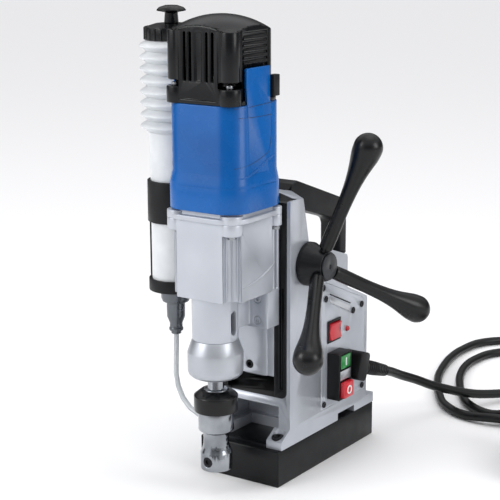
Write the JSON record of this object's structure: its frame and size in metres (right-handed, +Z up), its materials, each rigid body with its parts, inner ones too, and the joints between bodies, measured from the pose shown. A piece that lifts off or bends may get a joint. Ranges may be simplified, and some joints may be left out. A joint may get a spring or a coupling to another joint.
{
  "type": "magnetic drill press",
  "caption": "Portable drilling machine on an electromagnet foot: cast column, motor carriage on a rack, turnstile feed levers, keyless annular cutter holder and a pump-up coolant bottle.",
  "frame": {"origin": "centre of the magnet foot's lower face, on the floor", "axes": "+Z up along the column, -Y towards the spindle (the front), +X towards the control panel and the feed levers"},
  "size_m": [0.4133, 0.5891, 0.4184],
  "materials": {
    "magnet_paint": "satin black-grey paint on a steel block",
    "copper_wire": "enamelled copper winding",
    "coil_resin": "cast resin",
    "black_steel": "black oxide",
    "cast_silver": "silver-grey powder coat on cast aluminium",
    "dark_steel": "ground and blued steel",
    "bronze": "plain bearing bronze",
    "soft_black": "fine-grained black plastic",
    "lever_black": "smooth black plastic over a steel rod",
    "steel": "turned and ground steel",
    "polished_steel": "bright turned steel",
    "label_silver": "light grey film",
    "switch_black": "black moulded plastic",
    "signal_red": "red moulded plastic",
    "signal_green": "green moulded plastic",
    "board": "circuit board with its parts",
    "cord_rubber": "black cord sheath",
    "motor_blue": "blue moulded plastic",
    "cap_black": "black moulded plastic, fine grain",
    "carbon": "carbon",
    "iron_core": "laminated iron with windings",
    "bottle_plastic": "milky translucent polyethylene",
    "connector_grey": "grey plastic and metal",
    "hose_clear": "clear soft tube",
    "ring_black": "black machined plastic"
  },
  "bodies": {
    "stand": {"magnet_block": "magnet_paint", "magnet_coils": "copper_wire", "coil_filler": "coil_resin", "base_bolts": "black_steel", "column_housing": "cast_silver", "guide_rails": "dark_steel", "gib_strip": "bronze", "carry_handle": "soft_black", "handle_studs": "steel", "control_panel": "cast_silver", "panel_screws": "black_steel", "trim_plate": "label_silver", "switch_bezel": "switch_black", "status_lamp": "signal_red", "switch_box": "switch_black", "switch_label": "label_silver", "circuit_board": "board", "pinion_bushes": "bronze", "cable_outlet": "switch_black", "strain_relief": "cord_rubber", "power_cord": "cord_rubber", "cord_coil": "cord_rubber", "plug": "cord_rubber"},
    "carriage": {"slide": "dark_steel", "feed_rack": "dark_steel", "slide_bracket": "cast_silver", "bracket_screws": "black_steel", "gearbox_housing": "cast_silver", "gearbox_flange": "cast_silver", "flange_screws": "black_steel", "spindle_collar": "cast_silver", "spindle_bearings": "steel", "motor_housing": "motor_blue", "motor_cap": "cap_black", "cap_screws": "black_steel", "brush_covers": "cap_black", "carbon_brushes": "carbon", "stator": "iron_core", "bottle_holder": "cap_black", "coolant_bottle": "bottle_plastic", "bellows": "bottle_plastic", "hose_connector": "connector_grey", "coolant_hose": "hose_clear", "coolant_ring": "ring_black"},
    "pump": {"pump_cap": "cap_black", "pump_knob": "cap_black"},
    "rocker": {"magnet_rocker": "signal_red"},
    "start": {"start_button": "signal_green"},
    "stop": {"stop_button": "signal_red"},
    "turnstile": {"lever_hub": "soft_black", "hub_disc": "soft_black", "feed_lever_1": "lever_black", "feed_lever_2": "lever_black", "feed_lever_3": "lever_black", "pinion_shaft": "steel"},
    "spindle": {"spindle_shaft": "steel", "tool_holder": "polished_steel", "holder_screws": "black_steel"},
    "countershaft_body": {"countershaft": "steel"},
    "rotor_body": {"rotor": "iron_core"}
  },
  "joints": [
    {"name": "carriage_slide", "type": "slide", "parent": "stand", "child": "carriage", "axis": [0, 0, 1], "range_m": [-0.014, 0.098]},
    {"name": "feed_turn", "type": "hinge", "parent": "stand", "child": "turnstile", "pos_m": [0, -0.037, 0.195], "axis": [1, 0, 0], "range_deg": [-470, 70]},
    {"name": "rotor_spin", "type": "hinge", "parent": "carriage", "child": "rotor_body", "pos_m": [0, -0.102, 0.3], "axis": [0, 0, 1], "continuous": true},
    {"name": "countershaft_spin", "type": "hinge", "parent": "carriage", "child": "countershaft_body", "pos_m": [0.016, -0.10218, 0.21], "axis": [0, 0, 1], "continuous": true},
    {"name": "spindle_spin", "type": "hinge", "parent": "carriage", "child": "spindle", "pos_m": [0, -0.118, 0.1], "axis": [0, 0, 1], "continuous": true},
    {"name": "pump_stroke", "type": "slide", "parent": "carriage", "child": "pump", "axis": [0, 0, -1], "range_m": [0, 0.036], "stiffness_N_per_m": 120, "deforming": ["bellows"]},
    {"name": "magnet_switch", "type": "hinge", "parent": "stand", "child": "rocker", "pos_m": [0.041, 0.009, 0.1227], "axis": [0, 1, 0], "range_deg": [-8, 8]},
    {"name": "start_press", "type": "slide", "parent": "stand", "child": "start", "axis": [-1, 0, 0], "range_m": [0, 0.003], "stiffness_N_per_m": 600},
    {"name": "stop_press", "type": "slide", "parent": "stand", "child": "stop", "axis": [-1, 0, 0], "range_m": [0, 0.003], "stiffness_N_per_m": 600}
  ],
  "couplings": [
    {"joint": "feed_turn", "follows": "carriage_slide", "rad_per_m": -83.333},
    {"joint": "countershaft_spin", "follows": "rotor_spin", "ratio": -0.33333},
    {"joint": "spindle_spin", "follows": "rotor_spin", "ratio": 0.12121}
  ]
}
